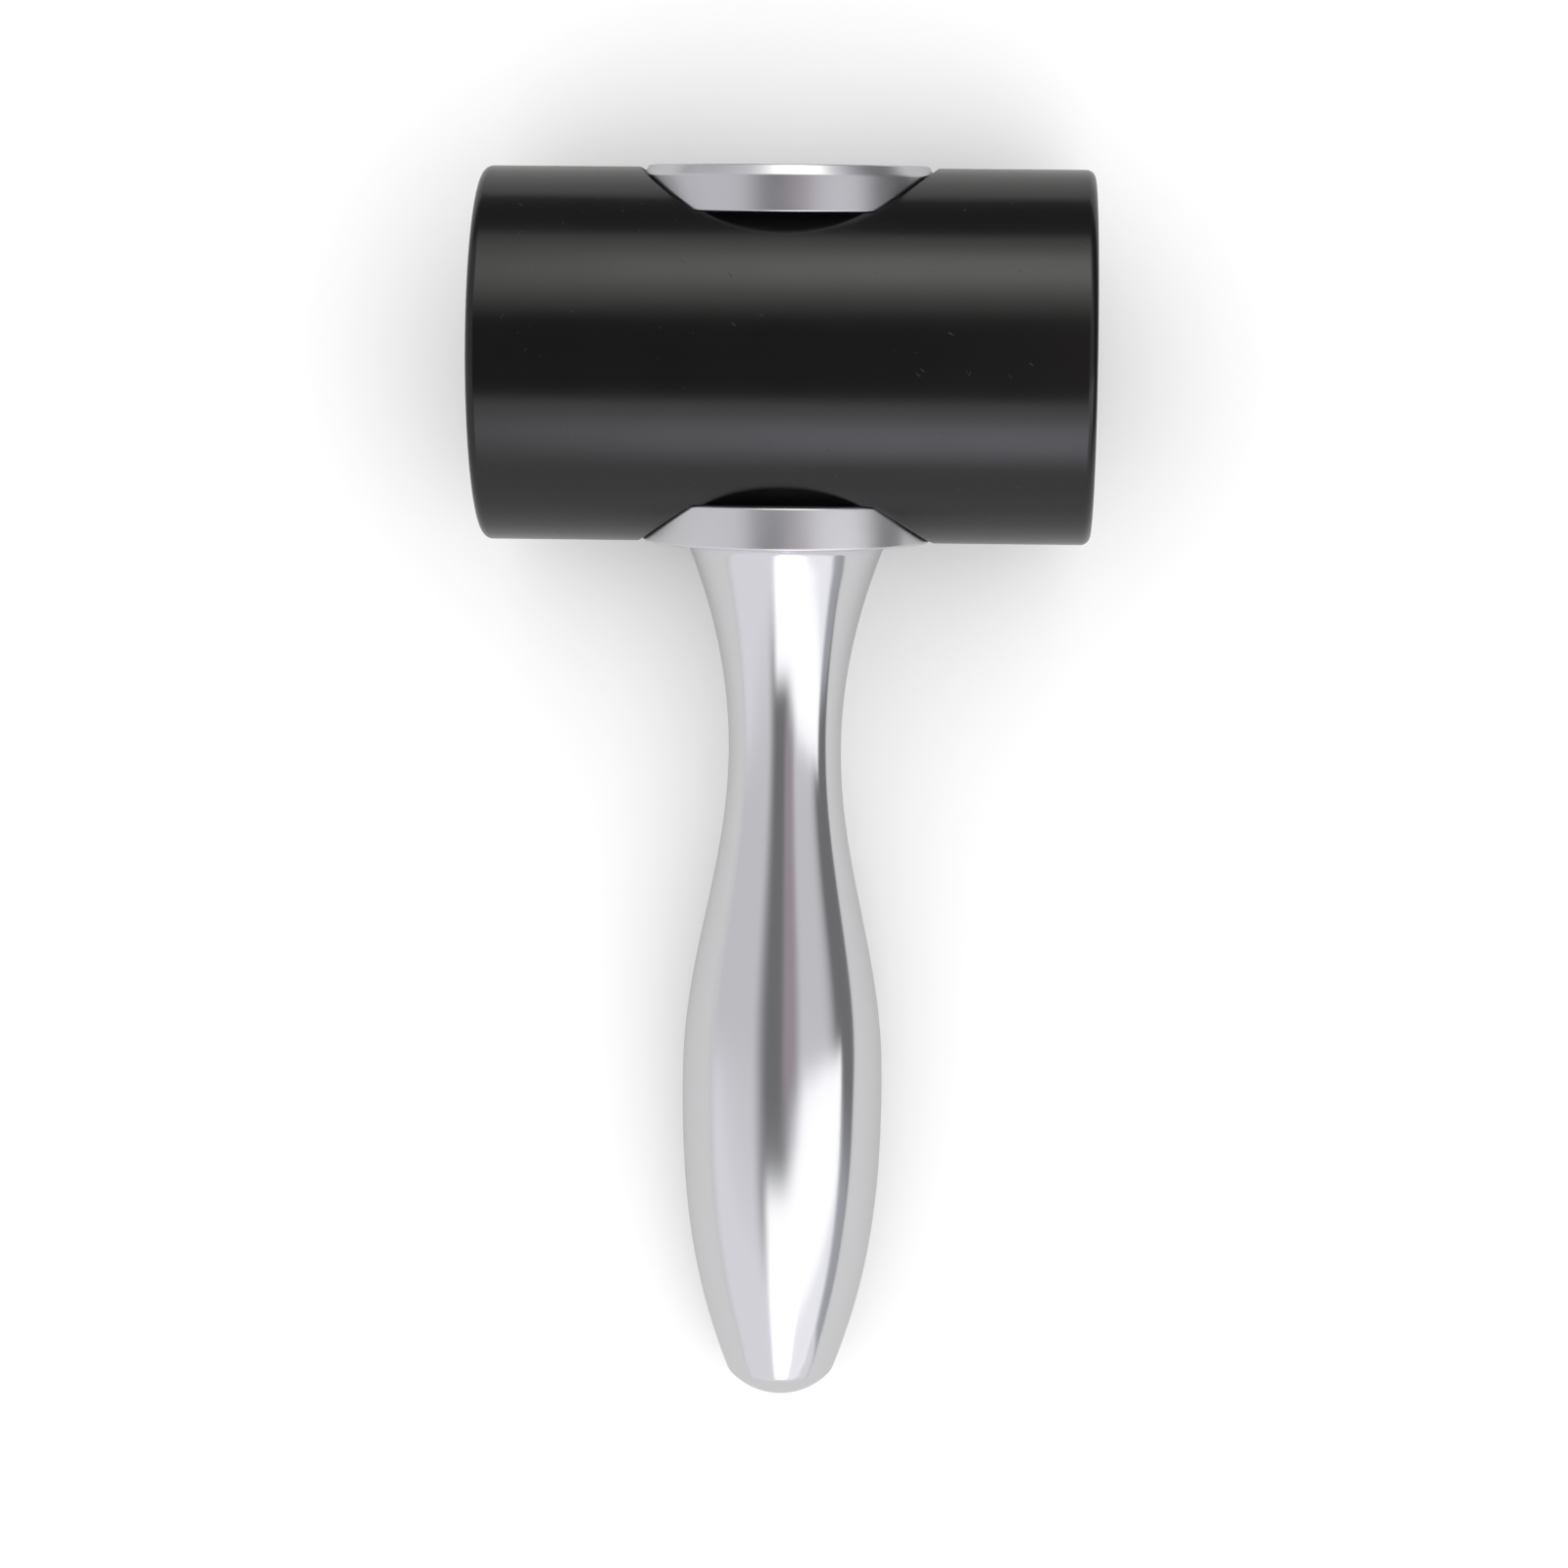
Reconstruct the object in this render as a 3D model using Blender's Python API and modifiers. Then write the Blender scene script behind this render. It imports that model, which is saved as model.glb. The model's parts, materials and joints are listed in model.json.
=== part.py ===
"""A leathercraft mallet: a nylon head held between a metal disc and the flange of its handle.

Every piece is modelled about the handle's axis. The middle of the head is the origin, +Z runs
out through the top disc, -Z runs down the handle to the butt, and the head lies along X. An
empty then lays the whole mallet on its side, where it rests on the round of its head and on
the belly of its handle. Lengths are in metres and angles in radians.
"""

import math

import bmesh
import bpy
from mathutils import Matrix

MM = 0.001

# Clearances
SEAT_GAP = 0.3 * MM  # between two faces that press on each other
BORE_CLEARANCE = 0.3 * MM  # round a spigot in the head, and round the screw in its thread
POCKET_CLEARANCE = 0.6 * MM  # the dark line round the disc and the flange
COUNTERBORE_CLEARANCE = 0.75 * MM  # round the screw's head
HOLE_CLEARANCE = 0.5 * MM  # round the screw's shank where it passes the disc
TAKE_UP = 1.0 * MM  # between the two spigots, so that the screw grips the nylon

# Head
HEAD_LENGTH = 98 * MM
HEAD_RADIUS = 30 * MM
HEAD_EDGE_RADIUS = 1.5 * MM
POCKET_DEPTH = 7.1 * MM  # below the crown of the head

# Top disc, and the flange that pairs it
DISC_RADIUS = 23.3 * MM
DISC_THICKNESS = 7.1 * MM
DISC_CHAMFER = 1.5 * MM
DISC_WEB = 3.6 * MM  # what the screw pulls on, under the counterbore
FLANGE_THICKNESS = 6.6 * MM
SPIGOT_WALL = 3.25 * MM
EDGE_BREAK = 0.5 * MM

# Handle, from the flange down
NECK_RADIUS = 15.6 * MM
NECK_FILLET = 2.4 * MM
NECK_LENGTH = 34.2 * MM
WAIST_RADIUS = 9.1 * MM
SWELL_LENGTH = 54 * MM
BELLY_RADIUS = 16.45 * MM
TAPER_LENGTH = 50 * MM
TAPER_POWER = 2.6  # how late the belly turns in towards the butt
BUTT_RADIUS = 8.6 * MM
BUTT_CROWN = 4 * MM

# M10 hexagon socket cap screw and its spring washer
SCREW_RADIUS = 5 * MM
SCREW_LENGTH = 30 * MM
SCREW_CHAMFER = 1 * MM
SCREW_HEAD_RADIUS = 8 * MM
SCREW_HEAD_HEIGHT = 10 * MM
SCREW_RECESS = 0.8 * MM  # its head lies this far under the disc's face
SOCKET_ACROSS_FLATS = 8 * MM
SOCKET_DEPTH = 6 * MM
THREAD_RUN_OUT = 4 * MM
DRILL_POINT = math.radians(118)
WASHER_RADIUS = 8 * MM
WASHER_THICKNESS = 2.5 * MM
WASHER_SPLIT = 1 * MM
WASHER_SPLIT_SLANT = math.radians(20)

# Smoothness
TURN_STEPS = 48
HEAD_STEPS = 96
EDGE_STEPS = 4
CURVE_STEPS = 11
MERGE = 0.01 * MM
CORNER_ANGLE = math.radians(30)
CUT_PAST = 5 * MM  # how far a cutter runs past the face that it opens

# Heights along the handle's axis that several pieces share
POCKET_FLOOR = HEAD_RADIUS - POCKET_DEPTH
DISC_SEAT = POCKET_FLOOR + SEAT_GAP
DISC_FACE = DISC_SEAT + DISC_THICKNESS
SCREW_TOP = DISC_FACE - SCREW_RECESS
SCREW_SHOULDER = SCREW_TOP - SCREW_HEAD_HEIGHT
SCREW_TIP = SCREW_SHOULDER - SCREW_LENGTH
WASHER_TOP = SCREW_SHOULDER - SEAT_GAP
WASHER_BOTTOM = WASHER_TOP - WASHER_THICKNESS
COUNTERBORE_FLOOR = WASHER_BOTTOM - SEAT_GAP
DISC_SPIGOT_END = COUNTERBORE_FLOOR - DISC_WEB
HANDLE_SPIGOT_END = DISC_SPIGOT_END - TAKE_UP
FLANGE_SEAT = -POCKET_FLOOR - SEAT_GAP
FLANGE_UNDERSIDE = FLANGE_SEAT - FLANGE_THICKNESS
WAIST = FLANGE_UNDERSIDE - NECK_LENGTH
BELLY = WAIST - SWELL_LENGTH
BUTT = BELLY - TAPER_LENGTH

# Radii that several pieces share
COUNTERBORE_RADIUS = SCREW_HEAD_RADIUS + COUNTERBORE_CLEARANCE
SPIGOT_RADIUS = COUNTERBORE_RADIUS + SPIGOT_WALL
THREAD_RADIUS = SCREW_RADIUS + BORE_CLEARANCE


def shares(steps, first=0):
    """Even shares of a whole, up to 1."""
    return [i / steps for i in range(first, steps + 1)]


def neck_and_fillet():
    """The fillet under the flange, then the hollow curve of the neck down to the waist.

    The neck is a parabola that is level at the waist. The fillet turns from the flange's
    flat underside until it runs the way the parabola starts.
    """
    flare = NECK_RADIUS - WAIST_RADIUS
    turn = math.atan2(NECK_LENGTH, 2 * flare)
    fillet_start = NECK_RADIUS + NECK_FILLET * math.sin(turn)
    points = []
    for share in shares(EDGE_STEPS):
        angle = share * turn
        radius = fillet_start - NECK_FILLET * math.sin(angle)
        points.append((radius, FLANGE_UNDERSIDE - NECK_FILLET * (1 - math.cos(angle))))
    neck_top = points[-1][1]
    for share in shares(CURVE_STEPS, 1):
        radius = WAIST_RADIUS + flare * (1 - share) ** 2
        points.append((radius, neck_top + share * (WAIST - neck_top)))
    return points


def swell_and_taper():
    """From the waist out to the belly on half a cosine wave, then in to the butt."""
    points = []
    for share in shares(CURVE_STEPS, 1):
        swell = (1 - math.cos(math.pi * share)) / 2
        radius = WAIST_RADIUS + (BELLY_RADIUS - WAIST_RADIUS) * swell
        points.append((radius, WAIST - share * SWELL_LENGTH))
    for share in shares(CURVE_STEPS, 1):
        radius = BELLY_RADIUS - (BELLY_RADIUS - BUTT_RADIUS) * share**TAPER_POWER
        points.append((radius, BELLY - share * TAPER_LENGTH))
    return points


def butt_crown():
    """The shallow ball end of the handle, from its crease to the axis."""
    ball = (BUTT_RADIUS**2 + BUTT_CROWN**2) / (2 * BUTT_CROWN)
    centre = BUTT - BUTT_CROWN + ball
    widest = math.asin(BUTT_RADIUS / ball)
    points = []
    for share in shares(EDGE_STEPS, 1):
        angle = widest * (1 - share)
        points.append((ball * math.sin(angle), centre - ball * math.cos(angle)))
    return points


def handle_outline():
    """Up the tapped hole, over the spigot, round the flange and down the grip."""
    hole_bottom = SCREW_TIP - THREAD_RUN_OUT
    drill_cone = THREAD_RADIUS / math.tan(DRILL_POINT / 2)
    return [
        (0, hole_bottom - drill_cone),
        (THREAD_RADIUS, hole_bottom),
        (THREAD_RADIUS, HANDLE_SPIGOT_END - EDGE_BREAK),
        (THREAD_RADIUS + EDGE_BREAK, HANDLE_SPIGOT_END),
        (SPIGOT_RADIUS - EDGE_BREAK, HANDLE_SPIGOT_END),
        (SPIGOT_RADIUS, HANDLE_SPIGOT_END - EDGE_BREAK),
        (SPIGOT_RADIUS, FLANGE_SEAT),
        (DISC_RADIUS - EDGE_BREAK, FLANGE_SEAT),
        (DISC_RADIUS, FLANGE_SEAT - EDGE_BREAK),
        (DISC_RADIUS, FLANGE_UNDERSIDE + EDGE_BREAK),
        (DISC_RADIUS - EDGE_BREAK, FLANGE_UNDERSIDE),
        *neck_and_fillet(),
        *swell_and_taper(),
        *butt_crown(),
    ]


def disc_outline():
    """A closed ring: the counterbore, the face and its chamfer, the rim and the spigot."""
    hole = SCREW_RADIUS + HOLE_CLEARANCE
    return [
        (hole, COUNTERBORE_FLOOR),
        (COUNTERBORE_RADIUS, COUNTERBORE_FLOOR),
        (COUNTERBORE_RADIUS, DISC_FACE - EDGE_BREAK),
        (COUNTERBORE_RADIUS + EDGE_BREAK, DISC_FACE),
        (DISC_RADIUS - DISC_CHAMFER, DISC_FACE),
        (DISC_RADIUS, DISC_FACE - DISC_CHAMFER),
        (DISC_RADIUS, DISC_SEAT + EDGE_BREAK),
        (DISC_RADIUS - EDGE_BREAK, DISC_SEAT),
        (SPIGOT_RADIUS, DISC_SEAT),
        (SPIGOT_RADIUS, DISC_SPIGOT_END + EDGE_BREAK),
        (SPIGOT_RADIUS - EDGE_BREAK, DISC_SPIGOT_END),
        (hole, DISC_SPIGOT_END),
    ]


def screw_outline():
    """The cap screw without its socket and thread."""
    return [
        (0, SCREW_TOP),
        (SCREW_HEAD_RADIUS - SCREW_CHAMFER, SCREW_TOP),
        (SCREW_HEAD_RADIUS, SCREW_TOP - SCREW_CHAMFER),
        (SCREW_HEAD_RADIUS, SCREW_SHOULDER),
        (SCREW_RADIUS, SCREW_SHOULDER),
        (SCREW_RADIUS, SCREW_TIP + SCREW_CHAMFER),
        (SCREW_RADIUS - SCREW_CHAMFER, SCREW_TIP),
        (0, SCREW_TIP),
    ]


def washer_outline():
    """The square section of the spring washer, as a closed ring."""
    hole = SCREW_RADIUS + BORE_CLEARANCE
    return [
        (hole, WASHER_TOP),
        (WASHER_RADIUS, WASHER_TOP),
        (WASHER_RADIUS, WASHER_BOTTOM),
        (hole, WASHER_BOTTOM),
    ]


def bore_outline():
    """What is cut through the head: a pocket at each end of the bore for the spigots."""
    bore = SPIGOT_RADIUS + BORE_CLEARANCE
    pocket = DISC_RADIUS + POCKET_CLEARANCE
    past = HEAD_RADIUS + CUT_PAST
    return [
        (0, past),
        (pocket, past),
        (pocket, POCKET_FLOOR),
        (bore, POCKET_FLOOR),
        (bore, -POCKET_FLOOR),
        (pocket, -POCKET_FLOOR),
        (pocket, -past),
        (0, -past),
    ]


def finish(made_of, colour, metallic, roughness):
    """A material with one colour, as metal or as plastic."""
    material = bpy.data.materials.new(made_of)
    material.use_nodes = True
    shader = material.node_tree.nodes["Principled BSDF"]
    shader.inputs["Base Color"].default_value = (*colour, 1)
    shader.inputs["Metallic"].default_value = metallic
    shader.inputs["Roughness"].default_value = roughness
    material.diffuse_color = (*colour, 1)
    return material


def collection(name):
    """A new collection in the scene."""
    made = bpy.data.collections.new(name)
    bpy.context.scene.collection.children.link(made)
    return made


def turned(name, outline, closed=False):
    """A mesh turned about Z from (radius, height) points that run down its outer side."""
    count = len(outline)
    edges = [(i, i + 1) for i in range(count - 1)]
    if closed:
        edges.append((count - 1, 0))
    profile = bpy.data.meshes.new(name + "_profile")
    profile.from_pydata([(radius, 0, height) for radius, height in outline], edges, [])
    guide = bpy.data.objects.new(name + "_profile", profile)
    bpy.context.scene.collection.objects.link(guide)
    screw = guide.modifiers.new("Turn", "SCREW")
    screw.steps = TURN_STEPS
    screw.render_steps = TURN_STEPS
    screw.use_merge_vertices = True
    screw.merge_threshold = MERGE
    mesh = bpy.data.meshes.new_from_object(
        guide.evaluated_get(bpy.context.evaluated_depsgraph_get())
    )
    mesh.name = name
    bpy.data.objects.remove(guide)
    bpy.data.meshes.remove(profile)
    return mesh


def prism(name, across_corners, length, sides, middle=0):
    """A mesh of a straight prism along Z, which with many sides is a cylinder."""
    shape = bmesh.new()
    bmesh.ops.create_cone(
        shape,
        cap_ends=True,
        segments=sides,
        radius1=across_corners / 2,
        radius2=across_corners / 2,
        depth=length,
        matrix=Matrix.Translation((0, 0, middle)),
    )
    mesh = bpy.data.meshes.new(name)
    shape.to_mesh(mesh)
    shape.free()
    return mesh


def add_piece(name, mesh, material, mallet, parts):
    """Puts a piece of the mallet in place, smooth but for its corners."""
    mesh.shade_smooth()
    mesh.set_sharp_from_angle(angle=CORNER_ANGLE)
    mesh.materials.append(material)
    piece = bpy.data.objects.new(name, mesh)
    piece.parent = mallet
    parts.objects.link(piece)
    return piece


def cut(piece, mesh, cutters):
    """Cuts a shape out of a piece. The cutter stays, out of sight of a render."""
    cutter = bpy.data.objects.new(mesh.name, mesh)
    cutter.parent = piece.parent
    cutter.hide_render = True
    cutter.display_type = "WIRE"
    cutters.objects.link(cutter)
    boolean = piece.modifiers.new(mesh.name, "BOOLEAN")
    boolean.operation = "DIFFERENCE"
    boolean.solver = "EXACT"
    boolean.object = cutter


def add_head(mallet, parts, cutters):
    """A cylinder across the handle, with rounded ends, bored and pocketed for the clamp."""
    nylon = finish("black_nylon", (0.012, 0.012, 0.012), 0, 0.35)
    bar = prism("head", 2 * HEAD_RADIUS, HEAD_LENGTH, HEAD_STEPS)
    bar.transform(Matrix.Rotation(math.pi / 2, 4, "Y"))
    head = add_piece("head", bar, nylon, mallet, parts)
    rounding = head.modifiers.new("Rounded ends", "BEVEL")
    rounding.width = HEAD_EDGE_RADIUS
    rounding.segments = EDGE_STEPS
    rounding.limit_method = "ANGLE"
    rounding.angle_limit = math.pi / 3
    cut(head, turned("bore_and_pockets", bore_outline()), cutters)


def add_handle(mallet, parts):
    """The grip, its flange and the spigot that reaches up into the head, all in one piece."""
    polished = finish("polished_metal", (0.80, 0.80, 0.82), 1, 0.08)
    add_piece("handle", turned("handle", handle_outline()), polished, mallet, parts)


def add_top_disc(mallet, parts):
    """The disc in the top pocket, counterbored for the screw."""
    faced = finish("faced_metal", (0.72, 0.72, 0.73), 1, 0.2)
    mesh = turned("top_disc", disc_outline(), closed=True)
    add_piece("top_disc", mesh, faced, mallet, parts)


def add_clamp_screw(mallet, parts, cutters):
    """The cap screw that pulls the disc towards the handle."""
    steel = finish("bright_steel", (0.60, 0.60, 0.61), 1, 0.25)
    mesh = turned("clamp_screw", screw_outline())
    screw = add_piece("clamp_screw", mesh, steel, mallet, parts)
    across_corners = SOCKET_ACROSS_FLATS / math.cos(math.pi / 6)
    length = SOCKET_DEPTH + CUT_PAST
    middle = SCREW_TOP + (CUT_PAST - SOCKET_DEPTH) / 2
    cut(screw, prism("hex_socket", across_corners, length, 6, middle), cutters)


def add_spring_washer(mallet, parts, cutters):
    """The split ring under the screw's head, squeezed flat, with a slanting split."""
    spring = finish("spring_steel", (0.30, 0.30, 0.31), 1, 0.35)
    mesh = turned("spring_washer", washer_outline(), closed=True)
    washer = add_piece("spring_washer", mesh, spring, mallet, parts)
    block = bmesh.new()
    bmesh.ops.create_cube(block, size=1)
    reach = WASHER_RADIUS + CUT_PAST
    bmesh.ops.scale(block, vec=(reach, WASHER_SPLIT, reach), verts=block.verts)
    bmesh.ops.rotate(
        block, matrix=Matrix.Rotation(WASHER_SPLIT_SLANT, 3, "X"), verts=block.verts
    )
    middle = (WASHER_TOP + WASHER_BOTTOM) / 2
    bmesh.ops.translate(block, vec=(reach / 2, 0, middle), verts=block.verts)
    split = bpy.data.meshes.new("washer_split")
    block.to_mesh(split)
    block.free()
    cut(washer, split, cutters)


def rest_tilt():
    """How far the handle dips once the head and the handle both touch the floor.

    A point of the grip at a distance from the middle of the head meets the floor, which lies
    one head radius below, at an angle of its own. The smallest of these angles is the dip.
    """
    return min(
        math.asin(HEAD_RADIUS / math.hypot(radius, height)) - math.atan2(radius, -height)
        for radius, height in handle_outline()
        if height < 0 and math.hypot(radius, height) > HEAD_RADIUS
    )


def middle_along_floor(tilt):
    """How far the middle of the lying mallet is from the middle of its head, along Y."""
    far = max(r * math.sin(tilt) + z * math.cos(tilt) for r, z in disc_outline())
    near = min(z * math.cos(tilt) - r * math.sin(tilt) for r, z in handle_outline())
    return (max(far, HEAD_RADIUS) + near) / 2


def lying_mallet(parts):
    """The empty that carries every piece and lays the mallet on the floor, centred."""
    tilt = rest_tilt()
    mallet = bpy.data.objects.new("mallet_lying_down", None)
    mallet.rotation_euler.x = tilt - math.pi / 2
    mallet.location = (0, -middle_along_floor(tilt), HEAD_RADIUS)
    parts.objects.link(mallet)
    return mallet


def main():
    for old in list(bpy.data.objects):
        bpy.data.objects.remove(old)
    parts = collection("leathercraft_mallet")
    cutters = collection("cutters")
    mallet = lying_mallet(parts)
    add_head(mallet, parts, cutters)
    add_handle(mallet, parts)
    add_top_disc(mallet, parts)
    add_clamp_screw(mallet, parts, cutters)
    add_spring_washer(mallet, parts, cutters)


main()
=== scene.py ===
# %% [markdown]
# # A leathercraft mallet
#
# Leatherworkers drive their punches and stamps with a mallet like this one. The head is a length
# of black nylon bar, which doesn't bruise a steel tool. A metal disc above and the flange of the
# handle below clamp the head between them, and one cap screw down the middle pulls them together.
#
# The mallet has already been modelled as five plain solids, the frame. This lesson makes a finer
# copy of each of them, gives every one the finish it has on the bench, and lights them as in the
# photograph. The frame is loaded first, because each piece goes exactly where its solid lies.

# %% Load the frame
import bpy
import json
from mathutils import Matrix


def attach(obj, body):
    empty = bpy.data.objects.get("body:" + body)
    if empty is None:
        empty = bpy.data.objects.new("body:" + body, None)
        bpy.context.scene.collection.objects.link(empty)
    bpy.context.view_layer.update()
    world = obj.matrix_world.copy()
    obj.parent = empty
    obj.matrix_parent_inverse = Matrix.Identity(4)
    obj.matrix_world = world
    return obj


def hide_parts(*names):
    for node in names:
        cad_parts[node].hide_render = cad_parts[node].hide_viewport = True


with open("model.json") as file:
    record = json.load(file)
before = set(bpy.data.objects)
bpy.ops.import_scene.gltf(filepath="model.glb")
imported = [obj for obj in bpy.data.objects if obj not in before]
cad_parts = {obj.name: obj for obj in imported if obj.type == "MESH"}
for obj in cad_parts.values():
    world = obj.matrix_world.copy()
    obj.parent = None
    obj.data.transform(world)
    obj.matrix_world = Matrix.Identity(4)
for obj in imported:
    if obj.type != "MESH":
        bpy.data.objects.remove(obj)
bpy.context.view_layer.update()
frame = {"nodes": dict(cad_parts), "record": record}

print("solids in the frame:", ", ".join(sorted(frame["nodes"])))

# %% Tools and units
import json
import math

import bmesh
import bpy
from mathutils import Matrix, Vector

MM = 0.001
WELD = 0.0005 * MM

# %% [markdown]
# ## Where the mallet lies
#
# A turned part is easiest to model upright, round the Z axis, and this mallet is nearly all turned.
# So every piece is made with the middle of the head at the origin, the head along X and the handle
# hanging down Z, and is laid on the floor at the very end. The record of the frame says how it
# lies: the middle of the head is halfway between its two striking faces, and the flat face of the
# top disc looks straight along the handle, which dips a few degrees because the belly of the grip
# is thinner than the head.

# %% The way from the lathe to the floor
mounts = {mount["name"]: mount for mount in frame["record"]["mounts"]}
left_face = Vector(mounts["strike_face_left"]["pos_m"])
right_face = Vector(mounts["strike_face_right"]["pos_m"])
handle_way = Vector(mounts["top_face"]["axis"]).normalized()

head_middle = (left_face + right_face) / 2
dip = math.asin(handle_way.z)
LYING_DOWN = Matrix.Translation(head_middle) @ Matrix.Rotation(dip - math.pi / 2, 4, "X")
print(f"the handle dips {math.degrees(dip):.2f} degrees")

# %% [markdown]
# ## Sizes
#
# The frame says how long and how thick the head is, and where the face of the disc lies. A few
# more sizes drive the rest: each seat, shoulder and floor below is found by going along the handle
# from the disc's face down, one piece after the other, with the same small gaps as in the frame.
# Only the disc and the flange are let nearer to the nylon that they press on than in the frame,
# because daylight shows through a gap between them that the real clamp doesn't have.

# %% Driving sizes, in millimetres
HEAD_LENGTH = (right_face - left_face).length / MM
HEAD_RADIUS = head_middle.z / MM
DISC_FACE = (Vector(mounts["top_face"]["pos_m"]) - head_middle).dot(handle_way) / MM

HEAD_EDGE = 1.5
POCKET_DEPTH = 7.1
DISC_RADIUS = 23.3
DISC_THICKNESS = 7.1
DISC_CHAMFER = 1.6
DISC_CHAMFER_SLANT = math.radians(28)
DISC_WEB = 3.6
FLANGE_THICKNESS = 6.6
SPIGOT_WALL = 3.25

NECK_RADIUS = 15.6
NECK_FILLET = 2.4
NECK_LENGTH = 34.2
WAIST_RADIUS = 9.1
SWELL_LENGTH = 54
BELLY_RADIUS = 16.45
TAPER_LENGTH = 50
TAPER_POWER = 2.6
BUTT_RADIUS = 8.6
BUTT_CROWN = 4

THREAD_RADIUS = 5
THREAD_PITCH = 1.5
SCREW_LENGTH = 30
SCREW_HEAD_RADIUS = 8
SCREW_HEAD_HEIGHT = 10
SCREW_RECESS = 0.8
SOCKET_ACROSS_FLATS = 8
SOCKET_DEPTH = 6
WASHER_RADIUS = 8
WASHER_THICKNESS = 2.5

SEAT_GAP = 0.3
PRESSED_GAP = 0.02
BORE_CLEARANCE = 0.3
POCKET_CLEARANCE = 0.6
COUNTERBORE_CLEARANCE = 0.75
HOLE_CLEARANCE = 0.5
TAKE_UP = 1

# %% Heights along the handle and shared radii
POCKET_FLOOR = HEAD_RADIUS - POCKET_DEPTH
PRESSED = POCKET_FLOOR + PRESSED_GAP  # how far from the middle the clamping faces lie
SCREW_TOP = DISC_FACE - SCREW_RECESS
SCREW_SHOULDER = SCREW_TOP - SCREW_HEAD_HEIGHT
SCREW_TIP = SCREW_SHOULDER - SCREW_LENGTH
WASHER_TOP = SCREW_SHOULDER - SEAT_GAP
WASHER_BOTTOM = WASHER_TOP - WASHER_THICKNESS
COUNTERBORE_FLOOR = WASHER_BOTTOM - SEAT_GAP
DISC_SPIGOT_END = COUNTERBORE_FLOOR - DISC_WEB
SPIGOT_TOP = DISC_SPIGOT_END - TAKE_UP
FLANGE_BOTTOM = DISC_THICKNESS - DISC_FACE - FLANGE_THICKNESS
WAIST = FLANGE_BOTTOM - NECK_LENGTH
BELLY = WAIST - SWELL_LENGTH
BUTT = BELLY - TAPER_LENGTH

POCKET_RADIUS = DISC_RADIUS + POCKET_CLEARANCE
COUNTERBORE_RADIUS = SCREW_HEAD_RADIUS + COUNTERBORE_CLEARANCE
SPIGOT_RADIUS = COUNTERBORE_RADIUS + SPIGOT_WALL
BORE_RADIUS = SPIGOT_RADIUS + BORE_CLEARANCE
SHANK_HOLE = THREAD_RADIUS + HOLE_CLEARANCE
THREAD_CORE = THREAD_RADIUS - 0.541 * THREAD_PITCH  # the depth of a metric thread
print(f"from the disc's face at {DISC_FACE:.1f} mm down to the butt at {BUTT - BUTT_CROWN:.1f} mm")

# %% [markdown]
# ## Turning a part
#
# A lathe turns an outline into a solid, and Blender's spin does the same. An outline here is a
# chain of corners, each with its radius, its height and how much it is rounded, in millimetres.
# Bevelling the vertices of the bare chain rounds its corners before it is spun, which keeps the
# rounding even all the way round. No real edge is perfectly sharp, and it is the thin light that
# runs along a rounded edge that tells the eye so.

# %% Outlines and the lathe
TURN_STEPS = 192
ROUND_STEPS = 4


def chain(corners, closed=False):
    """A chain of edges through (radius, height, rounding) corners given in millimetres."""
    shape = bmesh.new()
    points = [shape.verts.new((radius * MM, 0, height * MM)) for radius, height, _ in corners]
    for pair in zip(points, points[1:]):
        shape.edges.new(pair)
    if closed:
        shape.edges.new((points[-1], points[0]))
    for point, (_, _, rounding) in zip(points, corners):
        if rounding:
            bmesh.ops.bevel(
                shape, geom=[point], offset=rounding * MM, offset_type="OFFSET",
                segments=ROUND_STEPS, profile=0.5, affect="VERTICES", material=-1,
            )
    return shape


def turned(shape, steps=TURN_STEPS):
    """Spins a chain once round Z and welds the seam and the points on the axis."""
    bmesh.ops.spin(
        shape, geom=shape.verts[:] + shape.edges[:], cent=(0, 0, 0), axis=(0, 0, 1),
        dvec=(0, 0, 0), angle=math.tau, steps=steps, use_merge=True,
    )
    bmesh.ops.remove_doubles(shape, verts=shape.verts, dist=WELD)
    bmesh.ops.recalc_face_normals(shape, faces=shape.faces)
    return shape


# %% [markdown]
# ## Cutting one shape with another
#
# Pockets, sockets and tapped holes are cut, as they are in the workshop. The Boolean modifier works
# on objects, so two shapes become objects for a moment and the result is read back as one shape.

# %% The cutter
def as_object(name, shape):
    """A shape as an object in the scene. The shape itself is used up."""
    mesh = bpy.data.meshes.new(name)
    shape.to_mesh(mesh)
    shape.free()
    made = bpy.data.objects.new(name, mesh)
    bpy.context.scene.collection.objects.link(made)
    return made


def cut(shape, tool, operation="DIFFERENCE"):
    """What is left of a shape once a tool has been through it."""
    work = as_object("work", shape)
    cutter = as_object("cutter", tool)
    boolean = work.modifiers.new("cut", "BOOLEAN")
    boolean.operation = operation
    boolean.solver = "EXACT"
    boolean.object = cutter
    result = bmesh.new()
    result.from_object(work, bpy.context.evaluated_depsgraph_get())
    for used in (work, cutter):
        mesh = used.data
        bpy.data.objects.remove(used)
        bpy.data.meshes.remove(mesh)
    bmesh.ops.remove_doubles(result, verts=result.verts, dist=WELD)
    bmesh.ops.dissolve_degenerate(result, edges=result.edges, dist=WELD)
    stray = [edge for edge in result.edges if not edge.link_faces]
    bmesh.ops.delete(result, geom=stray, context="EDGES")
    return result


def measure(name, shape):
    """Prints what a finished shape is made of, and whether it is closed."""
    open_edges = sum(len(edge.link_faces) != 2 for edge in shape.edges)
    volume = shape.calc_volume(signed=True) / 1e-6
    print(f"{name}: {len(shape.faces)} faces, {open_edges} open edges, {volume:.2f} ml")


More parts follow.
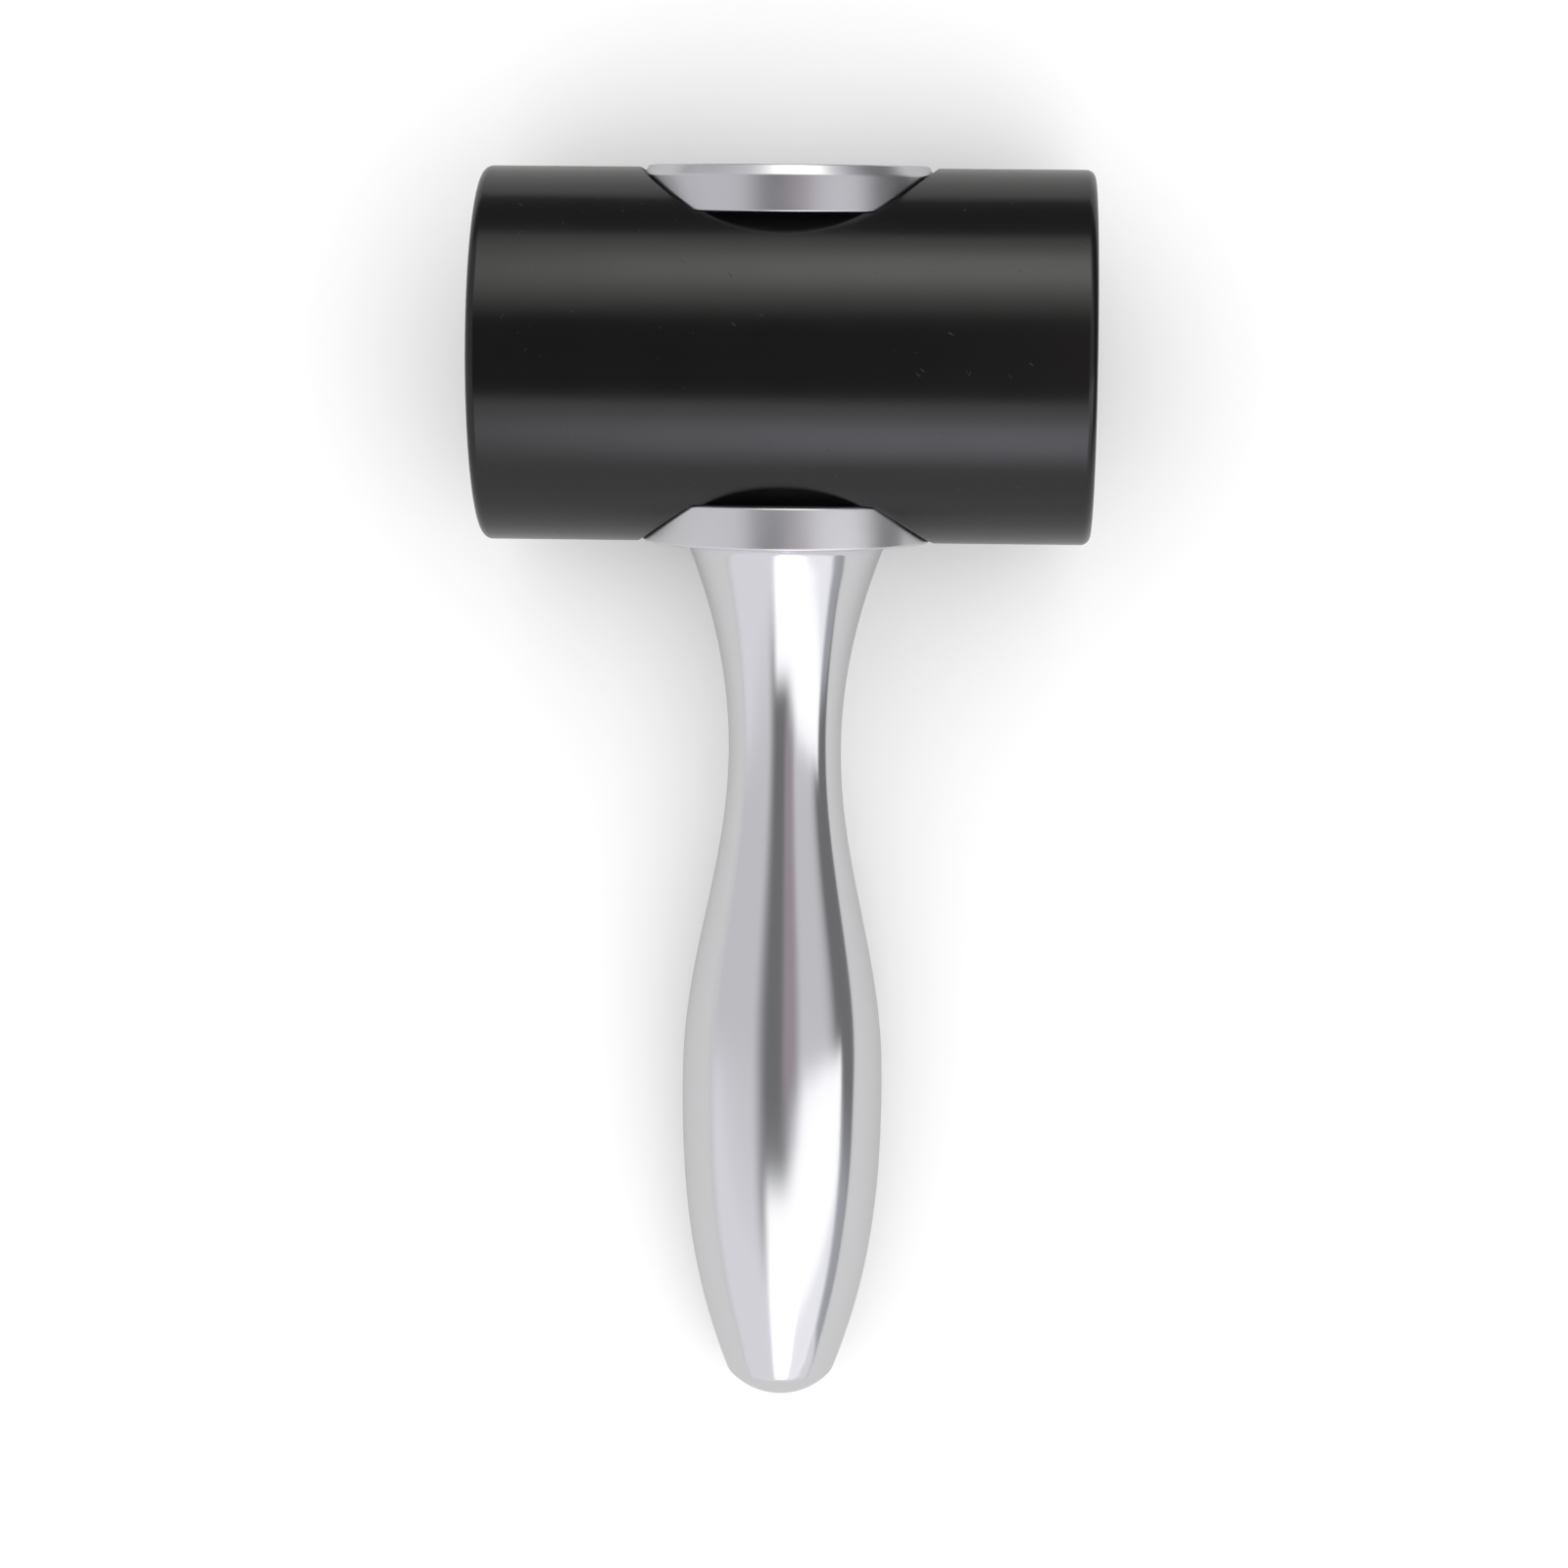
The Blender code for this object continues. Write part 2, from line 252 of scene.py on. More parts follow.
# %% [markdown]
# ## The head
#
# The head is sawn from 60 mm bar, turned true and faced, and the corners of its two striking faces
# are rounded so that they don't chip. Two round pockets are then milled across it for the disc
# and the flange, with a bore between them. A round pocket in a round bar leaves a saddle-shaped
# edge, and that curve is what makes this mallet look like itself, so it isn't drawn: it comes out
# of the cut, as it does on the machine.

# %% The bar
HEAD_STEPS = 256


def nylon_bar():
    """The bar with its rounded ends."""
    shape = bmesh.new()
    bmesh.ops.create_cone(
        shape, cap_ends=True, segments=HEAD_STEPS, radius1=HEAD_RADIUS * MM,
        radius2=HEAD_RADIUS * MM, depth=HEAD_LENGTH * MM,
        matrix=Matrix.Rotation(math.pi / 2, 4, "Y") @ Matrix.Rotation(math.pi / HEAD_STEPS, 4, "Z"),
    )
    rims = [edge for edge in shape.edges if abs(edge.verts[0].co.x - edge.verts[1].co.x) < WELD]
    bmesh.ops.bevel(
        shape, geom=rims, offset=HEAD_EDGE * MM, offset_type="OFFSET", segments=2 * ROUND_STEPS,
        profile=0.5, affect="EDGES", material=-1,
    )
    return shape


# %% Bore, pockets and deburring
BURR_EDGE = 0.15  # what a quick wipe with a scraper takes off the milled edges


def bore_and_pockets():
    """The metal that the milling cutters sweep, as one turned tool."""
    past = HEAD_RADIUS + 5
    return turned(chain([
        (0, past, 0),
        (POCKET_RADIUS, past, 0),
        (POCKET_RADIUS, POCKET_FLOOR, 0),
        (BORE_RADIUS, POCKET_FLOOR, 0),
        (BORE_RADIUS, -POCKET_FLOOR, 0),
        (POCKET_RADIUS, -POCKET_FLOOR, 0),
        (POCKET_RADIUS, -past, 0),
        (0, -past, 0),
    ]))


def milled_head():
    """The finished head, its cut edges just broken."""
    shape = cut(nylon_bar(), bore_and_pockets())
    sharp = [
        edge for edge in shape.edges
        if edge.is_manifold and edge.is_convex and edge.calc_face_angle() > math.radians(30)
    ]
    bmesh.ops.bevel(
        shape, geom=sharp, offset=BURR_EDGE * MM, offset_type="OFFSET", segments=2,
        profile=0.5, affect="EDGES", material=-1, clamp_overlap=False,
    )
    return shape


head = milled_head()
measure("head", head)

# %% [markdown]
# ## The handle
#
# The handle is one turned piece, from the spigot that reaches up into the head to the butt. Under
# the flange, a small fillet runs into a hollow neck that narrows to a waist for two fingers, the
# grip swells to a belly that fills the palm, and it draws in again to a domed butt. The curves are
# a parabola, half a cosine wave and a power curve, because each starts and ends level where it
# should. A mirror finish shows the least kink where two of them join, so the joins are smoothed
# along the chain before it is turned.

# %% The curves of the grip
FILLET_STEPS = 12
NECK_STEPS = 36
SWELL_STEPS = 54
TAPER_STEPS = 50
DOME_STEPS = 14


def neck_curve():
    """The fillet under the flange, then the hollow neck down to the waist."""
    flare = NECK_RADIUS - WAIST_RADIUS
    turn = math.atan2(FLANGE_BOTTOM - WAIST, 2 * flare)
    fillet_start = NECK_RADIUS + NECK_FILLET * math.sin(turn)
    fillet = [
        (fillet_start - NECK_FILLET * math.sin(step / FILLET_STEPS * turn),
         FLANGE_BOTTOM - NECK_FILLET * (1 - math.cos(step / FILLET_STEPS * turn)))
        for step in range(FILLET_STEPS + 1)
    ]
    neck_top = fillet[-1][1]
    neck = [
        (WAIST_RADIUS + flare * (1 - step / NECK_STEPS) ** 2,
         neck_top + step / NECK_STEPS * (WAIST - neck_top))
        for step in range(1, NECK_STEPS + 1)
    ]
    return fillet, neck


def grip_curve():
    """From the waist out to the belly and in to the butt."""
    swell = BELLY_RADIUS - WAIST_RADIUS
    points = [
        (WAIST_RADIUS + swell * (1 - math.cos(math.pi * step / SWELL_STEPS)) / 2,
         WAIST + step / SWELL_STEPS * (BELLY - WAIST))
        for step in range(1, SWELL_STEPS + 1)
    ]
    points += [
        (BELLY_RADIUS - (BELLY_RADIUS - BUTT_RADIUS) * (step / TAPER_STEPS) ** TAPER_POWER,
         BELLY + step / TAPER_STEPS * (BUTT - BELLY))
        for step in range(1, TAPER_STEPS + 1)
    ]
    return points


def dome_curve():
    """The shallow ball end of the butt."""
    ball = (BUTT_RADIUS**2 + BUTT_CROWN**2) / (2 * BUTT_CROWN)
    widest = math.asin(BUTT_RADIUS / ball)
    return [
        (ball * math.sin(widest * (1 - step / DOME_STEPS)),
         BUTT - BUTT_CROWN + ball * (1 - math.cos(widest * (1 - step / DOME_STEPS))))
        for step in range(1, DOME_STEPS + 1)
    ]


# %% Turn the handle
THREAD_EASE = 0.05
DRILL_ALLOWANCE = 0.04  # a tapping drill is a little wider than the core of the thread
THREAD_RUN_OUT = 4  # how far the tapped hole reaches past the tip of the screw
TAPPED_BOTTOM = SCREW_TIP - THREAD_RUN_OUT
DRILL_BOTTOM = TAPPED_BOTTOM - 2
DRILL_POINT = math.radians(118)
HOLE_CHAMFER = 0.5  # how much wider than the thread its countersunk mouth is
SMOOTHING = 20


def handle_blank():
    """The handle off the lathe, drilled but not yet tapped."""
    fillet, neck = neck_curve()
    grip = grip_curve()
    core = THREAD_CORE + THREAD_EASE + DRILL_ALLOWANCE
    mouth = THREAD_RADIUS + HOLE_CHAMFER
    corners = [
        (0, DRILL_BOTTOM - core / math.tan(DRILL_POINT / 2), 0),
        (core, DRILL_BOTTOM, 0),
        (core, SPIGOT_TOP - (mouth - core), 0),
        (mouth, SPIGOT_TOP, 0.1),
        (SPIGOT_RADIUS, SPIGOT_TOP, 0.5),
        (SPIGOT_RADIUS, -PRESSED, 0),
        (DISC_RADIUS, -PRESSED, 0.5),
        (DISC_RADIUS, FLANGE_BOTTOM, 0.4),
        *((radius, height, 0) for radius, height in fillet + neck + grip[:-1]),
        (*grip[-1], 0.4),
        *((radius, height, 0) for radius, height in dome_curve()),
    ]
    shape = chain(corners)
    top = neck[1][1] * MM
    bottom = grip[-4][1] * MM
    inside = 0.9 * WAIST_RADIUS * MM
    outside = [v for v in shape.verts if bottom < v.co.z < top and v.co.x > inside]
    for _ in range(SMOOTHING):
        bmesh.ops.smooth_vert(
            shape, verts=outside, factor=0.5, use_axis_x=True, use_axis_y=False, use_axis_z=False,
        )
    return turned(shape)


blank = handle_blank()
measure("handle before tapping", blank)

# %% [markdown]
# ## A real thread
#
# A screw thread is a small outline that climbs by one pitch each time it goes round, and spin can
# do just that: it takes a shift for each step as well as an angle. Neighbouring turns meet exactly,
# so welding makes them one surface. Its ragged ends are sliced off level and closed. The same
# thread, a hair fatter, is the tap that cuts the hole in the handle, so the two always fit.

# %% The tap and the screw's thread
THREAD_STEPS = 48


def threaded_rod(bottom, top, ease):
    """A closed length of M10 thread between two heights, its surface moved out by ease."""
    turns = math.ceil((top - bottom) / THREAD_PITCH) + 3
    start = (math.floor(bottom / THREAD_PITCH) - 1) * THREAD_PITCH
    root = THREAD_CORE + ease
    crest = THREAD_RADIUS + ease
    land = THREAD_PITCH / 8
    flank = (THREAD_PITCH - 3 * land) / 2
    shape = chain([
        (root, start, 0),
        (root, start + 2 * land, 0),
        (crest, start + 2 * land + flank, 0),
        (crest, start + 3 * land + flank, 0),
        (root, start + THREAD_PITCH, 0),
    ])
    bmesh.ops.spin(
        shape, geom=shape.verts[:] + shape.edges[:], cent=(0, 0, 0), axis=(0, 0, 1),
        dvec=(0, 0, THREAD_PITCH * MM / THREAD_STEPS), angle=turns * math.tau,
        steps=turns * THREAD_STEPS, use_merge=False,
    )
    bmesh.ops.remove_doubles(shape, verts=shape.verts, dist=WELD)
    for height, outwards in ((bottom, -1), (top, 1)):
        bmesh.ops.bisect_plane(
            shape, geom=shape.verts[:] + shape.edges[:] + shape.faces[:], dist=WELD / 10,
            plane_co=(0, 0, height * MM), plane_no=(0, 0, outwards), clear_outer=True,
        )
    ends = [edge for edge in shape.edges if len(edge.link_faces) == 1]
    bmesh.ops.holes_fill(shape, edges=ends, sides=0)
    bmesh.ops.recalc_face_normals(shape, faces=shape.faces)
    return shape


# %% Tap the handle
handle = cut(blank, threaded_rod(TAPPED_BOTTOM, SPIGOT_TOP + 2, THREAD_EASE))
measure("handle", handle)

# %% [markdown]
# ## The top disc
#
# The disc fills the upper pocket as the flange fills the lower one. It has a spigot of its own that
# centres it in the bore, and a counterbore that hides the head of the screw. The chamfer round its
# face leans only 28 degrees from the rim, and its middle is the narrow white crescent at the top of
# the photograph.

# %% Turn the top disc
COUNTERBORE_CHAMFER = 0.5

top_disc = turned(chain([
    (SHANK_HOLE, COUNTERBORE_FLOOR, 0.2),
    (COUNTERBORE_RADIUS, COUNTERBORE_FLOOR, 0),
    (COUNTERBORE_RADIUS, DISC_FACE - COUNTERBORE_CHAMFER, 0.08),
    (COUNTERBORE_RADIUS + COUNTERBORE_CHAMFER, DISC_FACE, 0.08),
    (DISC_RADIUS - DISC_CHAMFER * math.tan(DISC_CHAMFER_SLANT), DISC_FACE, 0.2),
    (DISC_RADIUS, DISC_FACE - DISC_CHAMFER, 0.2),
    (DISC_RADIUS, PRESSED, 0.35),
    (SPIGOT_RADIUS, PRESSED, 0),
    (SPIGOT_RADIUS, DISC_SPIGOT_END, 0.5),
    (SHANK_HOLE, DISC_SPIGOT_END, 0.2),
], closed=True))
measure("top disc", top_disc)

# %% [markdown]
# ## The clamp screw
#
# An M10 socket head cap screw, as it comes from the fastener bin: a knurled head with a chamfered
# top, an 8 mm hexagon socket with a drilled bottom, and a rolled thread with a chamfered tip. The
# knurl is made by drawing every second line of points on the rim towards the axis.

# %% Turn and knurl the head of the screw
KNURLS = 54
KNURL_DEPTH = 0.28
PLAIN_BAND = SCREW_HEAD_RADIUS - 0.1  # the radius of the bands above and below the knurl
SHANK_END = SCREW_SHOULDER - 2
TAPER_END = SCREW_SHOULDER - 3


def knurled_blank():
    """The head, with a short plain shank under it where the thread runs out."""
    shape = turned(chain([
        (0, SCREW_TOP, 0),
        (SCREW_HEAD_RADIUS - 1, SCREW_TOP, 0.15),
        (PLAIN_BAND, SCREW_TOP - 1, 0.1),
        (PLAIN_BAND, SCREW_TOP - 1.4, 0),
        (SCREW_HEAD_RADIUS, SCREW_TOP - 1.5, 0),
        (SCREW_HEAD_RADIUS, SCREW_SHOULDER + 1, 0),
        (PLAIN_BAND, SCREW_SHOULDER + 0.9, 0),
        (PLAIN_BAND, SCREW_SHOULDER, 0.2),
        (THREAD_RADIUS - 0.1, SCREW_SHOULDER, 0),
        (THREAD_RADIUS - 0.1, SHANK_END, 0),
        (THREAD_CORE - 0.4, TAPER_END, 0),
        (0, TAPER_END, 0),
    ]), steps=2 * KNURLS)
    step = math.pi / KNURLS
    grooves = [
        point for point in shape.verts
        if point.co.xy.length > (SCREW_HEAD_RADIUS - 0.01) * MM
        and round(math.atan2(point.co.y, point.co.x) / step) % 2
    ]
    narrower = 1 - KNURL_DEPTH / SCREW_HEAD_RADIUS
    bmesh.ops.scale(shape, vec=(narrower, narrower, 1), verts=grooves)
    return shape


# %% The socket and the thread
THREAD_TOP = SCREW_SHOULDER - 2.55  # about halfway down the taper, clear of its corners
ABOVE = 3  # how far the broach stands out above the screw
BROACH_POINT = 1.6


def hex_socket():
    """The hexagonal broach, with the drilled point that it leaves at the bottom."""
    shape = bmesh.new()
    corners = SOCKET_ACROSS_FLATS / 2 / math.cos(math.pi / 6)
    length = SOCKET_DEPTH + ABOVE
    bmesh.ops.create_cone(
        shape, cap_ends=True, segments=6, radius1=corners * MM, radius2=corners * MM,
        depth=length * MM, matrix=Matrix.Translation((0, 0, (SCREW_TOP + ABOVE - length / 2) * MM)),
    )
    floor = [face for face in shape.faces if face.normal.z < -0.9]
    bmesh.ops.poke(shape, faces=floor, offset=BROACH_POINT * MM)
    return shape


def socket_mouth():
    """The countersink round the mouth of the socket."""
    return turned(chain([
        (0, SCREW_TOP + 1, 0),
        (SOCKET_ACROSS_FLATS / 2 + 2.2, SCREW_TOP + 1, 0),
        (SOCKET_ACROSS_FLATS / 2 - 0.2, SCREW_TOP - 0.8, 0),
        (0, SCREW_TOP - 0.8, 0),
    ]), steps=96)


def chamfered_thread():
    """The thread, pointed at the tip so that it finds its hole."""
    point = THREAD_RADIUS + 1
    envelope = turned(chain([
        (0, THREAD_TOP, 0),
        (point, THREAD_TOP, 0),
        (point, SCREW_TIP + 2, 0),
        (point - 2, SCREW_TIP, 0),
        (0, SCREW_TIP, 0),
    ]), steps=96)
    rod = threaded_rod(SCREW_TIP - 1, SHANK_END, -THREAD_EASE)
    return cut(rod, envelope, "INTERSECT")


clamp_screw = cut(knurled_blank(), chamfered_thread(), "UNION")
clamp_screw = cut(clamp_screw, hex_socket())
clamp_screw = cut(clamp_screw, socket_mouth())
measure("clamp screw", clamp_screw)

# %% [markdown]
# ## The spring washer
#
# A ring of square spring wire, cut through at a slant. It sits out of sight under the screw and
# keeps the clamp tight while the nylon slowly gives.

# %% Turn and split the washer
WASHER_HOLE = THREAD_RADIUS + BORE_CLEARANCE
WASHER_SPLIT = 1
SPLIT_SLANT = math.radians(20)


def washer_split():
    """The slab that the cut takes away."""
    reach = 1.5 * WASHER_RADIUS * MM
    middle = (WASHER_TOP + WASHER_BOTTOM) / 2 * MM
    shape = bmesh.new()
    bmesh.ops.create_cube(shape, size=1)
    bmesh.ops.scale(shape, vec=(reach, WASHER_SPLIT * MM, reach), verts=shape.verts)
    slant = Matrix.Rotation(SPLIT_SLANT, 3, "X")
    bmesh.ops.rotate(shape, matrix=slant, verts=shape.verts)
    bmesh.ops.translate(shape, vec=(reach / 2, 0, middle), verts=shape.verts)
    return shape


spring_washer = cut(
    turned(chain([
        (WASHER_HOLE, WASHER_TOP, 0.2),
        (WASHER_RADIUS, WASHER_TOP, 0.2),
        (WASHER_RADIUS, WASHER_BOTTOM, 0.2),
        (WASHER_HOLE, WASHER_BOTTOM, 0.2),
    ], closed=True), steps=96),
    washer_split(),
)
measure("spring washer", spring_washer)

# %% [markdown]
# ## Building a finish from nodes
#
# Every finish starts as a Principled BSDF, and a few nodes add what the tools and the hands have
# left on it. One helper adds a node, sets it up and links it, and a second uses it to stretch one
# range of numbers onto another, which is how a noise becomes a roughness. Colours are written as on
# a paint chart, in sRGB, and turned into the linear light that the renderer works in.

# %% Colours and nodes
def paint(code):
    """An sRGB colour such as "#1A1A1A" as linear red, green, blue and alpha."""
    channels = [int(code[i : i + 2], 16) / 255 for i in (1, 3, 5)]
    return (*(c / 12.92 if c <= 0.04045 else ((c + 0.055) / 1.055) ** 2.4 for c in channels), 1)


def add_node(tree, kind, inputs=(), **settings):
    """A new node with its settings, and a value or a link for each input named or numbered."""
    node = tree.nodes.new("ShaderNode" + kind)
    for name, value in settings.items():
        setattr(node, name, value)
    for key, value in dict(inputs).items():
        if isinstance(value, bpy.types.NodeSocket):
            tree.links.new(value, node.inputs[key])
        else:
            node.inputs[key].default_value = value
    return node


def remap(tree, value, seen, wanted, **settings):
    """A value moved from the range it is seen in to the range wanted, and held within it."""
    ends = {1: seen[0], 2: seen[1], 3: wanted[0], 4: wanted[1]}
    return add_node(tree, "MapRange", {0: value, **ends}, **settings).outputs[0]


def new_finish(name, colour, metallic, roughness, ior=None):
    """A material with its main values on the shader itself, its node tree and its shader."""
    material = bpy.data.materials.new(name)
    material.use_nodes = True
    shader = material.node_tree.nodes["Principled BSDF"]
    shader.inputs["Base Color"].default_value = paint(colour)
    shader.inputs["Metallic"].default_value = metallic
    shader.inputs["Roughness"].default_value = roughness
    if ior:
        shader.inputs["IOR"].default_value = ior
    return material, material.node_tree, shader


# %% [markdown]
# ## Marks left by the lathe
#
# A turning tool leaves a very fine spiral, which reads as rings. On the barrel of the head they
# follow one another along its axis, and on its faces outwards from the middle. The distance along
# the axis plus the distance from it grows steadily over both, so noise that reads only this one
# number draws rings everywhere, with no seam at the rounded edge. The real feed is about 0.1 mm a
# turn, too fine for the picture, so the rings are drawn several times coarser.

# %% Rings round an axis
def from_axis(tree, turn_back):
    """Where a point is, seen from the lathe: its distance along the axis and from it."""
    coordinates = add_node(tree, "TexCoord")
    place = add_node(
        tree, "Mapping",
        {"Vector": coordinates.outputs["Object"], "Location": turn_back.translation,
         "Rotation": turn_back.to_euler()},
    )
    axes = add_node(tree, "SeparateXYZ", {0: place.outputs[0]})
    across = add_node(
        tree, "VectorMath", {0: place.outputs[0], 1: (0, 1, 1)}, operation="MULTIPLY",
    )
    radius = add_node(tree, "VectorMath", {0: across.outputs[0]}, operation="LENGTH")
    return place.outputs[0], axes.outputs["X"], radius.outputs["Value"]


def rings(tree, along, spacing, detail=2):
    """Noise in rings, about one for each spacing in metres."""
    noise = add_node(
        tree, "TexNoise", {"W": along, "Scale": 1 / spacing, "Detail": detail, "Roughness": 0.6},
        noise_dimensions="1D",
    )
    return noise.outputs["Fac"]


HEAD_ON_LATHE = Matrix.Translation(-head_middle)
HANDLE_ON_LATHE = Matrix.Rotation(math.pi / 2, 4, "Y") @ LYING_DOWN.inverted()
butt_on_lathe = HANDLE_ON_LATHE @ LYING_DOWN @ Vector((0, 0, BUTT * MM))
print(f"on its lathe, the crease of the butt is at x = {butt_on_lathe.x / MM:.0f} mm")

# %% [markdown]
# ## Black turned nylon
#
# Cast nylon 6 with carbon black, turned and left as it is. Under a soft light it is nearly black
# with broad, slightly blurred reflections, because the tool marks spread the light. Its refractive
# index is 1.53. The barrel is turned finely and the striking faces are faced with a coarser feed,
# so their rings show. Handling adds a few short pale scratches, and the gloss changes a little from
# place to place as the plastic does.

# %% Turned nylon
RING_SPACING = 0.7 * MM  # drawn coarser than the real 0.1 mm feed, so that it shows
NYLON_MARK_DEPTH = 0.035 * MM
NYLON_BLACK = "#030303"
NYLON_SCUFFED = "#222222"
NYLON_ROUGHNESS = (0.175, 0.21)
SCUFFED_ROUGHNESS = 0.5
BARREL_MARKS = 0.08  # the depth of the marks on the barrel, as a share of those on the faces
CLOUD_SIZE = 14 * MM


def scratches(tree, place, turn, size, rarity):
    """Short thin marks, as wide as size, that all run much the same way: 1 on them and 0 off."""
    grain = add_node(
        tree, "Mapping",
        {"Vector": place, "Rotation": turn, "Scale": (size, 8 * size, 8 * size)},
        vector_type="TEXTURE",
    )
    noise = add_node(
        tree, "TexNoise", {"Vector": grain.outputs[0], "Scale": 1, "Detail": 0},
    )
    return remap(tree, noise.outputs["Fac"], (rarity, rarity + 0.03), (0, 1))


def turned_nylon():
    material, tree, shader = new_finish(
        "turned_black_nylon", NYLON_BLACK, 0, NYLON_ROUGHNESS[1], ior=1.53,
    )
    place, along, radius = from_axis(tree, HEAD_ON_LATHE)
    side = add_node(tree, "Math", {0: along}, operation="ABSOLUTE")
    travel = add_node(tree, "Math", {0: side.outputs[0], 1: radius}, operation="ADD")
    marks = rings(tree, travel.outputs[0], RING_SPACING)
    cloud = add_node(tree, "TexNoise", {"Vector": place, "Scale": 1 / CLOUD_SIZE, "Detail": 3})
    gloss = remap(tree, cloud.outputs["Fac"], (0.3, 0.7), NYLON_ROUGHNESS)
    knocks = scratches(tree, place, (0.2, 0.1, 0.9), 0.3 * MM, 0.865)
    scrapes = scratches(tree, place, (-0.3, 0.1, -0.6), 0.22 * MM, 0.87)
    nicks = add_node(tree, "Math", {0: knocks, 1: scrapes}, operation="MAXIMUM").outputs[0]
    scuffed = add_node(
        tree, "Mix", {"Factor": nicks, "A": gloss, "B": SCUFFED_ROUGHNESS}, data_type="FLOAT",
    )
    tree.links.new(scuffed.outputs[0], shader.inputs["Roughness"])
    tint = add_node(
        tree, "Mix", {"Factor": nicks, "A": paint(NYLON_BLACK), "B": paint(NYLON_SCUFFED)},
        data_type="RGBA",
    )
    tree.links.new(tint.outputs["Result"], shader.inputs["Base Color"])
    rounding = ((HEAD_LENGTH / 2 - HEAD_EDGE) * MM, HEAD_LENGTH / 2 * MM)
    faced = remap(tree, side.outputs[0], rounding, (BARREL_MARKS, 1))
    bump = add_node(
        tree, "Bump", {"Height": marks, "Strength": faced, "Distance": NYLON_MARK_DEPTH},
    )
    tree.links.new(bump.outputs[0], shader.inputs["Normal"])
    return material


# %% [markdown]
# ## Polished and faced metal
#
# The handle is turned, then polished on a mop, so it mirrors the room with only a trace of the
# rings left. The two discs keep more of the lathe: their rims and faces are bright but a little
# misty, which blurs the same reflections. Both are the same pale, faintly blue metal. A metal keeps
# the shader's usual IOR, because its colour already says how it reflects.

# %% Polished metal for the handle
POLISH_SPACING = 0.5 * MM  # drawn coarser than the real feed, as on the nylon
POLISH_DEPTH = 0.0004 * MM
POLISHED_ROUGHNESS = 0.125
RIM_ROUGHNESS = 0.31
HAZE_SIZE = 9 * MM


def polished_metal():
    material, tree, shader = new_finish("mopped_aluminium", "#E8E8EB", 1, 0.05)
    place, along, radius = from_axis(tree, HANDLE_ON_LATHE)
    travel = add_node(tree, "Math", {0: along, 1: radius}, operation="ADD")
    lines = rings(tree, travel.outputs[0], POLISH_SPACING, detail=3)
    under_flange = ((FLANGE_BOTTOM - 0.3) * MM, FLANGE_BOTTOM * MM)
    flange = remap(tree, along, under_flange, (POLISHED_ROUGHNESS, RIM_ROUGHNESS))
    haze = add_node(tree, "TexNoise", {"Vector": place, "Scale": 1 / HAZE_SIZE, "Detail": 4})
    wiped = remap(tree, haze.outputs["Fac"], (0.35, 0.7), (0.92, 1.12))
    roughness = add_node(tree, "Math", {0: flange, 1: wiped}, operation="MULTIPLY")
    tree.links.new(roughness.outputs[0], shader.inputs["Roughness"])
    bump = add_node(tree, "Bump", {"Height": lines, "Strength": 1, "Distance": POLISH_DEPTH})
    tree.links.new(bump.outputs[0], shader.inputs["Normal"])
    return material


# %% Faced metal for the disc
FACING_SPACING = 0.45 * MM  # drawn coarser than the real feed, as on the nylon
FACING_DEPTH = 0.025 * MM
FACED_ROUGHNESS = (0.28, 0.33)
RIM_MARKS = 0.02  # the depth of the marks on the rim, as a share of those on the face
FACE_HAZE_SIZE = 7 * MM


def faced_metal():
    material, tree, shader = new_finish("faced_aluminium", "#DEDEE2", 1, RIM_ROUGHNESS)
    place, along, radius = from_axis(tree, HANDLE_ON_LATHE)
    travel = add_node(tree, "Math", {0: radius, 1: along}, operation="SUBTRACT")
    marks = rings(tree, travel.outputs[0], FACING_SPACING, detail=3)
    haze = add_node(tree, "TexNoise", {"Vector": place, "Scale": 1 / FACE_HAZE_SIZE, "Detail": 4})
    gloss = remap(tree, haze.outputs["Fac"], (0.35, 0.7), FACED_ROUGHNESS)
    tree.links.new(gloss, shader.inputs["Roughness"])
    below_face = ((DISC_FACE - 0.15) * MM, (DISC_FACE - 0.02) * MM)
    faced = remap(tree, along, below_face, (RIM_MARKS, 1))
    bump = add_node(tree, "Bump", {"Height": marks, "Strength": faced, "Distance": FACING_DEPTH})
    tree.links.new(bump.outputs[0], shader.inputs["Normal"])
    return material


# %% [markdown]
# ## Steel for the screw and the washer
#
# The screw is cold-headed steel with a bright zinc coat, whose fine crystals make it duller than
# polished metal. The washer is hardened and oiled, so it is dark.

# %% Screw steel and spring steel
CRYSTAL_SIZE = 0.25 * MM
CRYSTAL_DEPTH = 0.002 * MM
ZINC_ROUGHNESS = (0.22, 0.36)
SCALE_SIZE = 1.5 * MM


def zinc_steel():
    material, tree, shader = new_finish("zinc_plated_steel", "#C4C6C8", 1, 0.28)
    place, _, _ = from_axis(tree, HANDLE_ON_LATHE)
    crystals = add_node(tree, "TexNoise", {"Vector": place, "Scale": 1 / CRYSTAL_SIZE, "Detail": 3})
    gloss = remap(tree, crystals.outputs["Fac"], (0.3, 0.7), ZINC_ROUGHNESS)
    tree.links.new(gloss, shader.inputs["Roughness"])
    bump = add_node(
        tree, "Bump", {"Height": crystals.outputs["Fac"], "Strength": 1, "Distance": CRYSTAL_DEPTH},
    )
    tree.links.new(bump.outputs[0], shader.inputs["Normal"])
    return material


